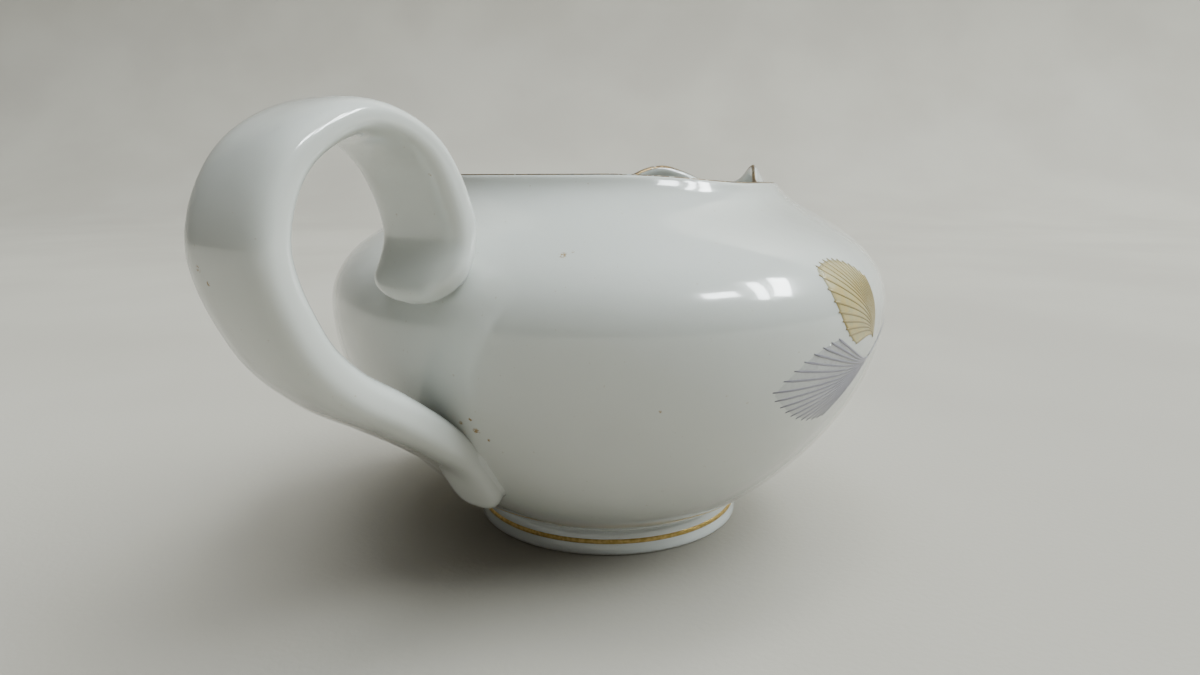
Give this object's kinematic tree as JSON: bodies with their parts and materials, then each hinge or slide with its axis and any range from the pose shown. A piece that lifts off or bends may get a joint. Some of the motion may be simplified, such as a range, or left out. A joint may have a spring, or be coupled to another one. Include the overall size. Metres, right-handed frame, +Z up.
{
  "type": "cream jug",
  "caption": "Low round porcelain cream jug with a foot ring, a looped strap handle, a pinched pouring spout, gilded edges and painted fans.",
  "frame": {"origin": "centre of the foot ring's resting face", "axes": "+Z up along the jug's axis, +X towards the spout, -X towards the handle"},
  "size_m": [0.1316, 0.1002, 0.0732],
  "materials": {
    "porcelain": "glossy clear glaze over white porcelain",
    "slip": "glossy, fired and glazed with the body",
    "gilding": "thin burnished gilding, worn",
    "gold_enamel": "thin gold lines over a pale gold wash",
    "grey_enamel": "thin mauve-grey enamel lines over a paler wash"
  },
  "bodies": {
    "root": {"body": "porcelain", "foot_ring": "porcelain", "handle": "porcelain", "upper_handle_slip": "slip", "lower_handle_slip": "slip", "rim_gilding": "gilding", "foot_gilding": "gilding", "right_gold_fan": "gold_enamel", "right_grey_fan": "grey_enamel", "right_small_fan": "gold_enamel", "left_gold_fan": "gold_enamel", "left_grey_fan": "grey_enamel", "left_small_fan": "gold_enamel"}
  },
  "joints": []
}
